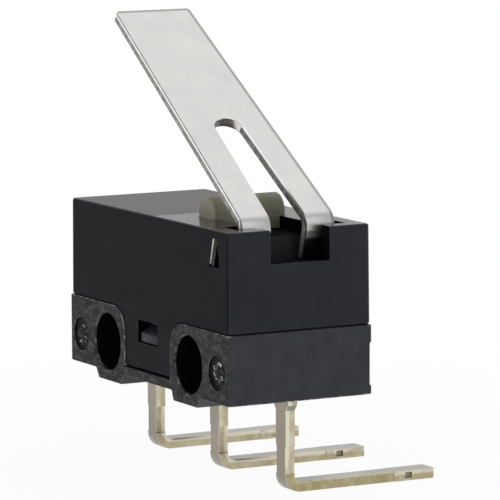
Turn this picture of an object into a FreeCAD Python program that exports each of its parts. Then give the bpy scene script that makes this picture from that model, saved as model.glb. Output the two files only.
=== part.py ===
"""Lever micro switch with a long slotted hinge lever and right-angle solder terminals.

Millimetres. X runs along the body, from the plain end to the lever's hinge end. Y runs across
the body, towards the side that the terminals bend to. Z is up, the way the plunger moves out.
The origin is midway between the two mounting bores, on the body's middle plane.
"""
import FreeCAD, Part

import math
import os

from FreeCAD import Placement, Rotation, Vector

# Body: width, corners, the two mounting bores and the heights measured from them
body_width = 5.9
corner_radius = 0.2
end_margin = 1.32
bore_pitch = 6.5
bore_radius = 1.07
bore_chamfer = 0.06
parting_height = 1.43
base_depth = 1.1

# Cover: shell, roof and the skirts that clip over the base
cover_inset = 0.05
cover_draft = 0.025
cover_wall = 0.5
roof_gap = 0.5
roof_thickness = 0.75
cover_edge_radius = 0.1
parting_chamfer = 0.08
boss_wall = 0.36
boss_shoulder_radius = 0.95
skirt_depth = 2.09
skirt_gap = 0.05
clip_window_length = 1.6
clip_window_rise = 0.96
clip_window_height = 0.85
clip_clearance = 0.03
clip_hook_length = 1.3
clip_hook_height = 0.64
clip_hook_face_height = 0.34
clip_hook_stand_back = 0.06

# Base: locating rim, feet below the bores and marks of the mould
rim_height = 0.45
rim_clearance = 0.04
rim_wall = 0.33
rim_terminal_gap = 0.025
foot_depth = 0.37
foot_inner_reach = 1.3
foot_outer_reach = 0.95
foot_inner_slope = 0.15
foot_outer_slope = 0.25
gate_mark_inset = 0.95
gate_mark_radius = 0.64
gate_mark_depth = 0.12
gate_stub_radius = 0.34
gate_stub_top_radius = 0.17
gate_stub_height = 0.07
end_relief_length = 1.55
end_relief_height = 1.55
end_relief_depth = 0.12

# Plunger: a bar with a half-round top, a flange under the roof and a rounded foot
plunger_place = 1.97
plunger_width = 1.26
plunger_length = 2.93
plunger_rise = 0.79
plunger_edge_radius = 0.08
plunger_travel = 0.55
guide_clearance = 0.03
flange_overhang = 0.24
flange_thickness = 0.33
foot_width = 0.6
foot_length = 1.4

# Lever: one folded strip with a slot, hinged on two ears in the cover's side windows
lever_thickness = 0.36
lever_angle = 32.8
lever_pressed_angle = 5.6
lever_tail_lean = 17.0
lever_bend_radius = 0.3
lever_pivot_inset = 0.53
lever_pivot_depth = 0.46
lever_neck = 0.248
lever_blade_length = 12.2
lever_root_half_width = 1.87
lever_tip_half_width = 1.54
lever_tip_radius = 0.13
lever_slot_length = 5.48
lever_slot_root_half_width = 0.74
lever_slot_end_radius = 0.59
ear_height = 0.84
ear_stand_back = 0.04
ear_clearance = 0.035

# Hinge pocket of the cover, open at the top and through a notch in the end wall
end_wall = 0.6
slot_opening = 0.8
slot_side_play = 0.33
slot_relief_length = 0.42
slot_relief_depth = 0.24
pocket_play = 0.135
pocket_floor_play = 0.25
pocket_wall = 0.35
notch_half_width = 1.2
notch_depth = 1.22
channel_depth = 0.44

# Terminals: three stamped strips with a neck, a right-angle bend and a straight run
terminal_pitch = 5.08
terminal_width = 0.75
terminal_thickness = 0.38
terminal_offset = 0.05
terminal_drop = 3.5
terminal_overhang = 3.11
terminal_bend_radius = 0.22
shoulder_overhang = 0.19
shoulder_height = 0.28
shoulder_taper = 0.23
neck_length = 1.0
neck_clearance = 0.06
neck_relief = 0.05
tip_length = 1.68
tip_flare = 0.04
tip_corner_radius = 0.12
pit_inset = 0.95
pit_length = 0.28
pit_height = 0.21
pit_depth = 0.1
pit_cover = 0.07

# Contact set: snap blade, its tongue, the contact buttons and the arms that carry them
blade_thickness = 0.1
blade_half_width = 1.1
blade_tip_overhang = 0.6
blade_window_half_width = 0.55
blade_window_inset = 1.7
blade_window_root_inset = 1.3
tongue_half_width = 0.4
tongue_rise = 0.3
tongue_drop = 0.45
tongue_seat_gap = 0.05
contact_inset = 1.18
contact_travel = 0.42
contact_gap_closed = 0.02
contact_radius = 0.45
contact_edge_radius = 0.1
contact_height = 0.2
fixed_contact_height = 0.23
rivet_radius = 0.225
arm_thickness = 0.35
arm_width = 1.5
arm_bend_radius = 0.12
open_arm_gap = 0.276
floor_gap = 0.09
anchor_inset = 0.78
post_place = 1.6
post_width = 0.7
post_clearance = 0.09
seat_groove_depth = 0.1
seat_groove_height = 0.5
seat_groove_taper = 0.05

# Lengths closer than this count as equal when edges are picked out
equal_within = 1e-6

# Body and cover outlines, worked out from the sizes above
half_length = terminal_pitch + end_margin
half_width = body_width / 2
base_bottom = -base_depth
bore_places = (-bore_pitch / 2, bore_pitch / 2)
cover_half_length = half_length - cover_inset
cover_half_width = half_width - cover_inset
cavity_half_length = cover_half_length - cover_wall
cavity_half_width = cover_half_width - cover_wall
skirt_half_length = bore_pitch / 2 - bore_radius - boss_wall
skirt_bottom = parting_height - skirt_depth
clip_window_low = skirt_bottom + clip_window_rise

# Heights of the contact set, from the base's top up to the cover's top
contact_place = contact_inset - terminal_pitch
blade_root_x = terminal_pitch - anchor_inset
blade_pivot_x = blade_root_x - arm_thickness
blade_swing = math.asin(contact_travel / (blade_pivot_x - contact_place))
contact_tilt = contact_radius * math.sin(blade_swing)
common_floor = parting_height + floor_gap
open_arm_top = parting_height + open_arm_gap + arm_thickness
blade_height = (open_arm_top + fixed_contact_height + contact_gap_closed + contact_tilt
                + contact_travel + contact_height)
blade_top = blade_height + blade_thickness
closed_arm_low = blade_top + contact_height + contact_gap_closed + fixed_contact_height
post_top = blade_height - post_clearance
tongue_tip_z = blade_height - tongue_drop
roof_under = closed_arm_low + arm_thickness + roof_gap
cover_top = roof_under + roof_thickness

# Lever and hinge pocket
lever_stroke = lever_angle - lever_pressed_angle
tail_lean = math.radians(lever_tail_lean)
slot_end = cover_half_length - end_wall
slot_start = slot_end - slot_opening
slot_half_width = lever_root_half_width + slot_side_play
lever_pivot_x = slot_end - lever_pivot_inset
lever_pivot_z = cover_top - lever_pivot_depth
tail_back = ear_height * math.sin(tail_lean) + lever_thickness / 2 * math.cos(tail_lean)
pocket_start = lever_pivot_x - tail_back - pocket_play
pocket_floor = lever_pivot_z - ear_height - pocket_floor_play
channel_floor = cover_top - channel_depth
notch_floor = cover_top - notch_depth

# Plunger and terminals
plunger_top = cover_top + plunger_rise
flange_top = roof_under - guide_clearance
terminal_low = base_bottom - terminal_drop
terminal_top = terminal_low + terminal_thickness
terminal_reach = half_width + terminal_overhang
terminal_front = terminal_offset - terminal_thickness / 2
terminal_back = terminal_offset + terminal_thickness / 2
neck_bottom = terminal_top + terminal_bend_radius + neck_clearance
neck_top = neck_bottom + neck_length


def vec(x, y, z):
    """Short name for a vector."""
    return Vector(x, y, z)


def box(x0, x1, y0, y1, z0, z1):
    """Block between two opposite corners."""
    return Part.makeBox(x1 - x0, y1 - y0, z1 - z0, vec(x0, y0, z0))


def face_of(edges):
    """Flat face bounded by edges that meet end to end."""
    return Part.Face(Part.Wire(edges))


def flat(points):
    """Flat face with straight sides from (u, v) pairs, drawn in a local plane."""
    corners = [vec(u, v, 0) for u, v in points]
    return face_of([Part.makeLine(a, b) for a, b in zip(corners, corners[1:] + corners[:1])])


def along_y(face, y0, y1):
    """Solid of a face drawn as (x, z), reaching from y0 to y1."""
    solid = face.extrude(vec(0, 0, y1 - y0))
    solid.Placement = Placement(vec(0, y1, 0), Rotation(vec(1, 0, 0), 90))
    return solid


def along_x(face, x0, x1):
    """Solid of a face drawn as (y, z), reaching from x0 to x1."""
    solid = face.extrude(vec(0, 0, x1 - x0))
    solid.Placement = Placement(vec(x0, 0, 0), Rotation(vec(1, 1, 1), 120))
    return solid


def both_sides(solid):
    """A solid on the -Y side together with its mirror image on the +Y side."""
    return [solid, solid.mirror(vec(0, 0, 0), vec(0, 1, 0))]


def rounded_rectangle(half_x, half_y, radius, z):
    """Wire of a rectangle with round corners, level at height z."""
    arcs = []
    for quarter, (side_x, side_y) in enumerate([(1, 1), (-1, 1), (-1, -1), (1, -1)]):
        centre = vec(side_x * (half_x - radius), side_y * (half_y - radius), z)
        start = 90 * quarter
        arcs.append(Part.makeCircle(radius, centre, vec(0, 0, 1), start, start + 90))
    edges = []
    for arc, following in zip(arcs, arcs[1:] + arcs[:1]):
        edges.append(arc)
        edges.append(Part.makeLine(arc.Vertexes[-1].Point, following.Vertexes[0].Point))
    return Part.Wire(edges)


def turned(heading, side):
    """Heading turned a quarter turn, to the left for side 1 and to the right for side -1."""
    return vec(-heading.y * side, heading.x * side, 0)


def strip_section(path, thickness, inner_radius):
    """Face of a folded strip's edge: straight runs joined by bends of one inner radius."""
    middle_radius = inner_radius + thickness / 2
    points = [vec(u, v, 0) for u, v in path]
    headings = [(b - a).normalize() for a, b in zip(points, points[1:])]
    first = {side: points[0] + turned(headings[0], side) * (thickness / 2) for side in (1, -1)}
    last = dict(first)
    edges = []
    for corner, before, after in zip(points[1:-1], headings, headings[1:]):
        turn = math.atan2(before.x * after.y - before.y * after.x, before.dot(after))
        hand = math.copysign(1, turn)
        back = middle_radius * math.tan(abs(turn) / 2)
        centre = corner - before * back + turned(before, hand) * middle_radius
        half_way = (turned(before, hand) + turned(after, hand)).normalize()
        for side in last:
            radius = middle_radius - hand * side * thickness / 2
            bend_start = centre - turned(before, hand) * radius
            bend_end = centre - turned(after, hand) * radius
            edges.append(Part.makeLine(last[side], bend_start))
            edges.append(Part.Arc(bend_start, centre - half_way * radius, bend_end).toShape())
            last[side] = bend_end
    for side in last:
        end = points[-1] + turned(headings[-1], side) * (thickness / 2)
        edges.append(Part.makeLine(last[side], end))
        last[side] = end
    edges += [Part.makeLine(last[1], last[-1]), Part.makeLine(first[-1], first[1])]
    return face_of(Part.__sortEdges__(edges))


def level_edges(solid, height):
    """Edges of a solid that lie level at one height."""
    return [e for e in solid.Edges if all(abs(v.Z - height) < equal_within for v in e.Vertexes)]


def skirt_body(gap, bottom, y0, y1):
    """Tongue between the two bore bosses, narrower than its seat by a gap on each side."""
    wide = skirt_half_length + boss_shoulder_radius
    lift = parting_height - boss_shoulder_radius
    half = skirt_half_length - gap
    upper = box(-wide, wide, y0, y1, lift, parting_height)
    lower = box(-half, half, y0, y1, bottom, lift)
    rounds = [Part.makeCylinder(boss_shoulder_radius + gap, y1 - y0, vec(side * wide, y0, lift),
                                vec(0, 1, 0)) for side in (-1, 1)]
    return upper.fuse(lower).cut(rounds)


def terminal_shank(place, low, high):
    """Straight upright stretch of a terminal's strip between two heights."""
    half = terminal_width / 2
    return box(place - half, place + half, terminal_front, terminal_back, low, high)


def clip_hook():
    """Wedge on the base's side that snaps into the skirt's window, on the -Y side."""
    root = -(cavity_half_width - rim_clearance)
    front = -(cover_half_width - clip_hook_stand_back)
    low = clip_window_low + clip_clearance
    face = flat([(root, low), (front, low), (front, low + clip_hook_face_height),
                 (root, low + clip_hook_height)])
    return along_x(face, -clip_hook_length / 2, clip_hook_length / 2)


def base_feet():
    """Two ribs across the underside, below the bores."""
    low = base_bottom - foot_depth
    feet = []
    for side in (-1, 1):
        inner = bore_pitch / 2 - foot_inner_reach
        outer = bore_pitch / 2 + foot_outer_reach
        face = flat([(side * inner, base_bottom), (side * (inner + foot_inner_slope), low),
                     (side * (outer - foot_outer_slope), low), (side * outer, base_bottom)])
        feet.append(along_y(face, -half_width, half_width))
    return feet


def base_block():
    """Outer block with round corners, with the seats for the skirts cut in."""
    outline = rounded_rectangle(half_length, half_width, corner_radius, base_bottom)
    block = Part.Face(outline).extrude(vec(0, 0, parting_height - base_bottom))
    seat = skirt_body(0, skirt_bottom - skirt_gap, -half_width,
                      -(cavity_half_width - rim_clearance))
    return block.cut(both_sides(seat))


def locating_rim():
    """Low wall on the base's top that centres the cover."""
    outer_x = cavity_half_length - rim_clearance
    outer_y = cavity_half_width - rim_clearance
    inner_x = terminal_pitch + terminal_width / 2 + rim_terminal_gap
    inner_y = outer_y - rim_wall
    top = parting_height + rim_height
    ring = box(-outer_x, outer_x, -outer_y, outer_y, parting_height, top)
    return ring.cut(box(-inner_x, inner_x, -inner_y, inner_y, parting_height, top))


def bore_tools():
    """Both mounting bores with a small chamfer at each mouth."""
    tools = []
    for place in bore_places:
        tools.append(Part.makeCylinder(bore_radius, body_width, vec(place, -half_width, 0),
                                       vec(0, 1, 0)))
        for side in (-1, 1):
            tools.append(Part.makeCone(bore_radius + bore_chamfer, bore_radius, bore_chamfer,
                                       vec(place, side * half_width, 0), vec(0, -side, 0)))
    return tools


def gate_marks():
    """Shallow round recesses near both ends of the -Y face, each with a stub of sprue."""
    marks = []
    for side in (-1, 1):
        centre = vec(side * (half_length - gate_mark_inset), -half_width, 0)
        disc = Part.makeCylinder(gate_mark_radius, gate_mark_depth, centre, vec(0, 1, 0))
        stub = Part.makeCone(gate_stub_radius, gate_stub_top_radius, gate_stub_height,
                             centre + vec(0, gate_mark_depth, 0), vec(0, -1, 0))
        marks.append(disc.cut(stub))
    return marks


def end_reliefs():
    """Shallow flats on the +Y face that run out at both ends."""
    reliefs = []
    for side in (-1, 1):
        ends = sorted((side * (half_length - end_relief_length), side * half_length))
        reliefs.append(box(*ends, half_width - end_relief_depth, half_width,
                           -end_relief_height / 2, end_relief_height / 2))
    return reliefs


def make_base():
    """Moulded base with bores, feet, skirt seats, hooks and the locating rim."""
    block = base_block().fuse([locating_rim()] + base_feet() + both_sides(clip_hook()))
    holes = [terminal_shank(place, base_bottom, parting_height)
             for place in (-terminal_pitch, 0, terminal_pitch)]
    return block.cut(bore_tools() + gate_marks() + end_reliefs() + holes).removeSplitter()


def ear_window():
    """Window that lets an ear swing from its rest lean to its pressed lean, as (x, z)."""
    reach = lever_thickness / 2 + ear_clearance
    pressed = math.radians(lever_stroke) - tail_lean
    drop = ear_height + ear_clearance
    pivot = vec(lever_pivot_x, lever_pivot_z, 0)
    left_top = pivot + vec(-reach * math.cos(tail_lean), reach * math.sin(tail_lean), 0)
    right_top = pivot + vec(reach * math.cos(pressed), reach * math.sin(pressed), 0)
    low = left_top.y - drop - reach * math.sin(tail_lean)
    left_low = vec(left_top.x - drop * math.tan(tail_lean), low, 0)
    right_low = vec(right_top.x + drop * math.tan(pressed), low, 0)
    return face_of([Part.Arc(left_top, pivot + vec(0, reach, 0), right_top).toShape(),
                    Part.makeLine(right_top, right_low), Part.makeLine(right_low, left_low),
                    Part.makeLine(left_low, left_top)])


def hinge_pocket_tools():
    """Pocket for the lever's tail, its top slot, end notch, channel and side windows."""
    relief = flat([(slot_start, cover_top), (slot_start, cover_top - slot_relief_depth),
                   (slot_start - slot_relief_length, cover_top)])
    window = along_y(ear_window(), -half_width, -slot_half_width)
    return [
        box(pocket_start, slot_end, -slot_half_width, slot_half_width,
            pocket_floor, channel_floor),
        box(slot_start, slot_end, -slot_half_width, slot_half_width, pocket_floor, cover_top),
        box(slot_end, half_length, -notch_half_width, notch_half_width, notch_floor, cover_top),
        box(plunger_place, slot_start, -notch_half_width, notch_half_width,
            channel_floor, cover_top),
        along_y(relief, -slot_half_width, slot_half_width),
    ] + both_sides(window)


def cover_cavity():
    """Room for the contact set, lower under the hinge pocket than elsewhere."""
    inner_end = pocket_start - pocket_wall
    main = box(-cavity_half_length, inner_end, -cavity_half_width, cavity_half_width,
               parting_height, roof_under)
    low = box(inner_end, cavity_half_length, -cavity_half_width, cavity_half_width,
              parting_height, pocket_floor - pocket_wall)
    return main.fuse(low)


def cover_shell():
    """Outer form with a little draft, round top edges and a chamfered parting edge."""
    levels = [(parting_height, parting_chamfer), (parting_height + parting_chamfer, 0),
              (cover_top, cover_draft)]
    wires = [rounded_rectangle(cover_half_length - inset, cover_half_width - inset,
                               corner_radius - inset, height) for height, inset in levels]
    shell = Part.makeLoft(wires, True, True)
    return shell.makeFillet(cover_edge_radius, level_edges(shell, cover_top))


def cover_skirt():
    """Tongue that reaches down over the base's side, on the -Y side, with its window."""
    tongue = skirt_body(skirt_gap, skirt_bottom, -cover_half_width, -cavity_half_width)
    half = clip_window_length / 2
    window = box(-half, half, -half_width, -cavity_half_width, clip_window_low,
                 clip_window_low + clip_window_height)
    return tongue.cut(window)


def skirt_bridge():
    """Strip that joins the skirt to the shell across its chamfered edge, on the -Y side."""
    shoulder_reach = math.sqrt((boss_shoulder_radius + skirt_gap) ** 2
                               - boss_shoulder_radius ** 2)
    half = skirt_half_length + boss_shoulder_radius - shoulder_reach
    return box(-half, half, -cover_half_width, -cavity_half_width,
               parting_height, parting_height + 2 * parting_chamfer)


def plunger_opening():
    """Opening in the roof that guides the plunger."""
    half_x = plunger_width / 2 + guide_clearance
    half_y = plunger_length / 2 + guide_clearance
    return box(plunger_place - half_x, plunger_place + half_x, -half_y, half_y,
               roof_under, cover_top)


def make_cover():
    """Moulded cover with its hinge pocket, plunger opening and clip skirts."""
    shell = cover_shell().cut([cover_cavity(), plunger_opening()] + hinge_pocket_tools())
    joined = shell.fuse(both_sides(cover_skirt()) + both_sides(skirt_bridge()))
    return joined.removeSplitter()


def plunger_foot(top):
    """Rounded foot that reaches the blade at the end of the plunger's travel."""
    sink = (blade_pivot_x - plunger_place) * math.sin(blade_swing)
    radius = foot_width / 2
    middle = blade_top - sink + plunger_travel + contact_gap_closed + radius
    stem = box(plunger_place - radius, plunger_place + radius, -foot_length / 2,
               foot_length / 2, middle, top)
    round_end = Part.makeCylinder(radius, foot_length,
                                  vec(plunger_place, -foot_length / 2, middle), vec(0, 1, 0))
    return stem.fuse(round_end)


def make_plunger():
    """Actuating bar with its retaining flange and the foot that presses the blade."""
    half = plunger_width / 2
    shoulder = plunger_top - half
    left, right = plunger_place - half, plunger_place + half
    side = plunger_length / 2
    bar = along_y(face_of([
        Part.makeLine(vec(left, flange_top, 0), vec(right, flange_top, 0)),
        Part.makeLine(vec(right, flange_top, 0), vec(right, shoulder, 0)),
        Part.Arc(vec(right, shoulder, 0), vec(plunger_place, plunger_top, 0),
                 vec(left, shoulder, 0)).toShape(),
        Part.makeLine(vec(left, shoulder, 0), vec(left, flange_top, 0)),
    ]), -side, side)
    end_edges = [e for e in bar.Edges if abs(abs(e.CenterOfMass.y) - side) < equal_within
                 and e.BoundBox.ZMax > flange_top + guide_clearance]
    bar = bar.makeFillet(plunger_edge_radius, end_edges)
    flange_low = flange_top - flange_thickness
    flange = box(left - flange_overhang, right + flange_overhang, -side - flange_overhang,
                 side + flange_overhang, flange_low, flange_top)
    return bar.fuse([flange, plunger_foot(flange_low)]).removeSplitter()


def lever_path():
    """Middle line of the lever's strip: tail's lower end, corner, tip, and the blade's root."""
    tail = math.radians(90) - tail_lean
    blade = math.radians(180 - lever_angle)
    back = (lever_bend_radius + lever_thickness / 2) * math.tan((blade - tail) / 2)
    pivot = vec(lever_pivot_x, lever_pivot_z, 0)
    up = vec(math.cos(tail), math.sin(tail), 0)
    out = vec(math.cos(blade), math.sin(blade), 0)
    corner = pivot + up * (lever_neck + back)
    root = corner + out * back
    return pivot - up * ear_height, corner, root + out * lever_blade_length, root


def blade_frame(root, tip):
    """Placement whose local X runs along the blade and whose local Z is its thickness."""
    along = vec(tip.x - root.x, 0, tip.y - root.y)
    across = vec(0, 1, 0)
    return Placement(vec(root.x, 0, root.y), Rotation(along, across, along.cross(across), "XYZ"))


def through_strip(face):
    """Tool that cuts a face drawn on the blade's middle plane right through the strip."""
    face.translate(vec(0, 0, -lever_thickness))
    return face.extrude(vec(0, 0, 2 * lever_thickness))


def lever_side_trim():
    """Wedges that taper the blade's two sides from root to tip, in the blade's frame."""
    spare = lever_root_half_width
    trims = []
    for side in (-1, 1):
        face = flat([(0, side * lever_root_half_width),
                     (lever_blade_length, side * lever_tip_half_width),
                     (lever_blade_length + spare, side * lever_tip_half_width),
                     (lever_blade_length + spare, side * 2 * spare), (0, side * 2 * spare)])
        trims.append(through_strip(face))
    return trims


def lever_root_gap():
    """Room between the two legs at the bend and the tail, in the blade's frame."""
    depth = lever_neck + ear_height + 2 * lever_bend_radius + 2 * lever_thickness
    half = lever_slot_root_half_width
    return box(-depth, 0, -half, half, -lever_thickness, depth)


def lever_slot():
    """Slot between the lever's legs, with a round end, in the blade's frame."""
    wide, narrow = lever_slot_root_half_width, lever_slot_end_radius
    end = lever_slot_length - narrow
    return through_strip(face_of([
        Part.makeLine(vec(0, wide, 0), vec(0, -wide, 0)),
        Part.makeLine(vec(0, -wide, 0), vec(end, -narrow, 0)),
        Part.Arc(vec(end, -narrow, 0), vec(lever_slot_length, 0, 0),
                 vec(end, narrow, 0)).toShape(),
        Part.makeLine(vec(end, narrow, 0), vec(0, wide, 0)),
    ]))


def lever_ear(low):
    """Ear that reaches from the tail into the cover's window, on the -Y side."""
    half = lever_thickness / 2
    pivot = vec(lever_pivot_x, lever_pivot_z, 0)
    down = (low - pivot).normalize()
    side = turned(down, 1) * half
    face = face_of([Part.makeLine(pivot + side, low + side), Part.makeLine(low + side, low - side),
                    Part.makeLine(low - side, pivot - side),
                    Part.Arc(pivot - side, pivot - down * half, pivot + side).toShape()])
    return along_y(face, -(cover_half_width - ear_stand_back), -lever_slot_root_half_width)


def make_lever():
    """Hinge lever: slotted tapered blade, bend, two-legged tail and two ears."""
    low, corner, tip, root = lever_path()
    section = strip_section([(low.x, low.y), (corner.x, corner.y), (tip.x, tip.y)],
                            lever_thickness, lever_bend_radius)
    strip = along_y(section, -lever_root_half_width, lever_root_half_width)
    frame = blade_frame(root, tip)
    tools = lever_side_trim() + [lever_slot(), lever_root_gap()]
    for tool in tools:
        tool.Placement = frame.multiply(tool.Placement)
    trimmed = strip.cut(tools)
    tip_corners = [e for e in trimmed.Edges if e.CenterOfMass.x < tip.x + lever_thickness
                   and abs(e.CenterOfMass.y) > lever_tip_half_width - equal_within
                   and e.Length < 2 * lever_thickness]
    rounded = trimmed.makeFillet(lever_tip_radius, tip_corners)
    return rounded.fuse(both_sides(lever_ear(low))).removeSplitter()


def terminal_shoulder(place):
    """Wider stretch of a terminal just below the base, tapered at its lower corners."""
    half = terminal_width / 2
    wide = half + shoulder_overhang
    low = base_bottom - shoulder_height
    face = flat([(place - wide, base_bottom), (place - wide, low),
                 (place - half, low - shoulder_taper), (place + half, low - shoulder_taper),
                 (place + wide, low), (place + wide, base_bottom)])
    return along_y(face, terminal_front, terminal_back)


def terminal_tip(place):
    """Slightly wider end of a terminal's run, with round corners."""
    half = terminal_width / 2 + tip_flare
    tip = box(place - half, place + half, terminal_reach - tip_length, terminal_reach,
              terminal_low, terminal_top)
    corners = [e for e in tip.Edges if e.BoundBox.ZLength > terminal_thickness - equal_within
               and e.CenterOfMass.y > terminal_reach - equal_within]
    return tip.makeFillet(tip_corner_radius, corners)


def terminal_pit(place):
    """Small square pit in the edge of a terminal's tip."""
    edge = place + terminal_width / 2 + tip_flare
    end = terminal_reach - pit_inset
    high = terminal_top - pit_cover
    return box(edge - pit_depth, edge, end - pit_length, end, high - pit_height, high)


def terminal_leg(place):
    """Outside part of a terminal: shoulder, neck, right-angle bend and straight run."""
    run = terminal_low + terminal_thickness / 2
    section = strip_section([(terminal_offset, parting_height), (terminal_offset, run),
                             (terminal_reach, run)], terminal_thickness, terminal_bend_radius)
    half = terminal_width / 2
    strip = along_x(section, place - half, place + half)
    necks = [box(place + a, place + b, terminal_front, terminal_back, neck_bottom, neck_top)
             for a, b in ((-half, -half + neck_relief), (half - neck_relief, half))]
    leg = strip.fuse([terminal_shoulder(place), terminal_tip(place)])
    return leg.cut(necks + [terminal_pit(place)])


def tongue_post():
    """Post of the common terminal with the groove that the tongue's tip seats in."""
    half = post_width / 2
    groove_bottom = post_place + seat_groove_depth
    post = box(post_place, groove_bottom + arm_thickness, -half, half, common_floor, post_top)
    low = tongue_tip_z - seat_groove_height / 2
    high = tongue_tip_z + seat_groove_height / 2
    groove = flat([(post_place, low), (groove_bottom, low + seat_groove_taper),
                   (groove_bottom, high - seat_groove_taper), (post_place, high)])
    return post.cut(along_y(groove, -half, half))


def make_common_terminal():
    """Common terminal: leg, floor strip, the blade's anchor post and the tongue's post."""
    half_arm = arm_width / 2
    floor_top = common_floor + arm_thickness
    tray = box(post_place + seat_groove_depth, terminal_pitch + terminal_width / 2,
               -half_arm, half_arm, common_floor, floor_top)
    anchor = box(blade_pivot_x, blade_root_x, -half_arm, half_arm, common_floor, blade_height)
    riser = terminal_shank(terminal_pitch, parting_height, floor_top)
    return terminal_leg(terminal_pitch).fuse([riser, tray, anchor, tongue_post()]).removeSplitter()


def arm_terminal(place, height, arm_end):
    """Terminal whose strip folds inside the body into a level arm at a middle height."""
    section = strip_section([(place, parting_height), (place, height), (arm_end, height)],
                            arm_thickness, arm_bend_radius)
    fold = along_y(section, -arm_width / 2, arm_width / 2)
    return terminal_leg(place).fuse(fold).removeSplitter()


def make_open_terminal():
    """Normally open terminal, from the middle of the base to below the moving contact."""
    end = contact_place - contact_radius - arm_thickness
    return arm_terminal(0, open_arm_top - arm_thickness / 2, end)


def make_closed_terminal():
    """Normally closed terminal, from the plain end over the moving contact."""
    end = contact_place + contact_radius + arm_thickness
    return arm_terminal(-terminal_pitch, closed_arm_low + arm_thickness / 2, end)


def fixed_contact(arm_face, direction):
    """Round-edged contact button standing on an arm's face, up or down."""
    button = Part.makeCylinder(contact_radius, fixed_contact_height,
                               vec(contact_place, 0, arm_face), vec(0, 0, direction))
    free_face = arm_face + direction * fixed_contact_height
    return button.makeFillet(contact_edge_radius, level_edges(button, free_face))


def snap_tongue():
    """Bowed tongue from the far end of the blade's window to the groove in its post."""
    start = vec(contact_place + blade_window_inset, blade_height + blade_thickness / 2, 0)
    tip = vec(post_place + seat_groove_depth - tongue_seat_gap, tongue_tip_z, 0)
    crown = (start + tip) * 0.5 + vec(0, tongue_rise, 0)
    circle = Part.Arc(start, crown, tip).toShape().Curve
    rims = []
    for reach in (-blade_thickness / 2, blade_thickness / 2):
        scale = (circle.Radius + reach) / circle.Radius
        rims.append([circle.Center + (p - circle.Center) * scale for p in (start, crown, tip)])
    inner, outer = rims
    face = face_of([Part.Arc(*inner).toShape(), Part.makeLine(inner[-1], outer[-1]),
                    Part.Arc(*reversed(outer)).toShape(), Part.makeLine(outer[0], inner[0])])
    return along_y(face, -tongue_half_width, tongue_half_width)


def rivet_shank():
    """Round shank of the moving contact, as thick as the blade that it is riveted through."""
    return Part.makeCylinder(rivet_radius, blade_thickness, vec(contact_place, 0, blade_height))


def make_snap_spring():
    """Flat snap blade with a window, a bowed tongue and the moving contact's hole."""
    blade = box(contact_place - blade_tip_overhang, blade_root_x, -blade_half_width,
                blade_half_width, blade_height, blade_top)
    window = box(contact_place + blade_window_inset, blade_root_x - blade_window_root_inset,
                 -blade_window_half_width, blade_window_half_width, blade_height, blade_top)
    return blade.cut(window).fuse(snap_tongue()).cut(rivet_shank()).removeSplitter()


def make_moving_contact():
    """Riveted contact button that stands out on both faces of the blade."""
    heads = [Part.makeCylinder(contact_radius, contact_height, vec(contact_place, 0, low))
             for low in (blade_height - contact_height, blade_top)]
    return rivet_shank().fuse(heads).removeSplitter()


def build():
    """Every separate piece of the switch by node name."""
    return {
        "base": make_base(),
        "cover": make_cover(),
        "plunger": make_plunger(),
        "lever": make_lever(),
        "common_terminal": make_common_terminal(),
        "normally_open_terminal": make_open_terminal(),
        "normally_closed_terminal": make_closed_terminal(),
        "snap_spring": make_snap_spring(),
        "moving_contact": make_moving_contact(),
        "normally_open_contact": fixed_contact(open_arm_top, 1),
        "normally_closed_contact": fixed_contact(closed_arm_low, -1),
    }


def write(parts):
    """Write each piece to its own STEP file."""
    os.makedirs("parts", exist_ok=True)
    for name, shape in parts.items():
        solids = shape.Solids
        piece = solids[0] if len(solids) == 1 else Part.makeCompound(solids)
        print(name, "solids", len(solids), "valid", piece.isValid(),
              "volume", round(piece.Volume, 4))
        piece.exportStep("parts/" + name + ".step")


write(build())
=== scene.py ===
"""Looks of a lever micro switch, built round its packed construction.

Sizes in the classes are millimetres, as on a drawing, and become metres in the meshes.
X runs along the body to the lever's hinge end, Y to the side the terminals bend to, Z up.
"""
import logging
import math
from collections.abc import Callable, Mapping, Sequence
from dataclasses import dataclass
from enum import Enum

import bmesh
import bpy
from mathutils import Matrix, Vector


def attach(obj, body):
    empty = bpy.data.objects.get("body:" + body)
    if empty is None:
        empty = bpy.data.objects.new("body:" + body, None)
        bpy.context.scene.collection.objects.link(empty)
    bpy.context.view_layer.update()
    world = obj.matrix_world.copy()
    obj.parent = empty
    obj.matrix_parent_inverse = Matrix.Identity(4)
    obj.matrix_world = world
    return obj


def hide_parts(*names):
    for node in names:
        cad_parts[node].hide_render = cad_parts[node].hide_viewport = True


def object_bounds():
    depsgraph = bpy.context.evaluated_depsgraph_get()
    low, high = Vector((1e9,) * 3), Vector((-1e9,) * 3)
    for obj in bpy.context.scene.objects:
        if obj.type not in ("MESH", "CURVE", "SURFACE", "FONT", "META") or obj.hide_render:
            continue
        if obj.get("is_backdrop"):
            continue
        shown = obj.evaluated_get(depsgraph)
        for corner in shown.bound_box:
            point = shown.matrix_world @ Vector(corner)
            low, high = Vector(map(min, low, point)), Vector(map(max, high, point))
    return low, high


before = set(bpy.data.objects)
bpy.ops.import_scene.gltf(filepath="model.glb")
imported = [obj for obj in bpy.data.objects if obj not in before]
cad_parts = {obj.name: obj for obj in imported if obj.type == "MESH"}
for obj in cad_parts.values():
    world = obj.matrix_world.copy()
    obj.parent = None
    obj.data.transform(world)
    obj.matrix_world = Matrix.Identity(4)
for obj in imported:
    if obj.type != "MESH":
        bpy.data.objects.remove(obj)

MM = 0.001
# Points nearer than this many metres are one point
DOUBLED = 1e-7
LEAST_MOVE = 1e-8
# Triangles that turn less than this are parts of one face
LEVEL_DEG = 0.3
# Most of a noise pattern's values lie in this range
NOISE_CORE = (0.3, 0.7)
# The place of the finish for rounded edges among a piece's materials
ROUNDED = 1
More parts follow.
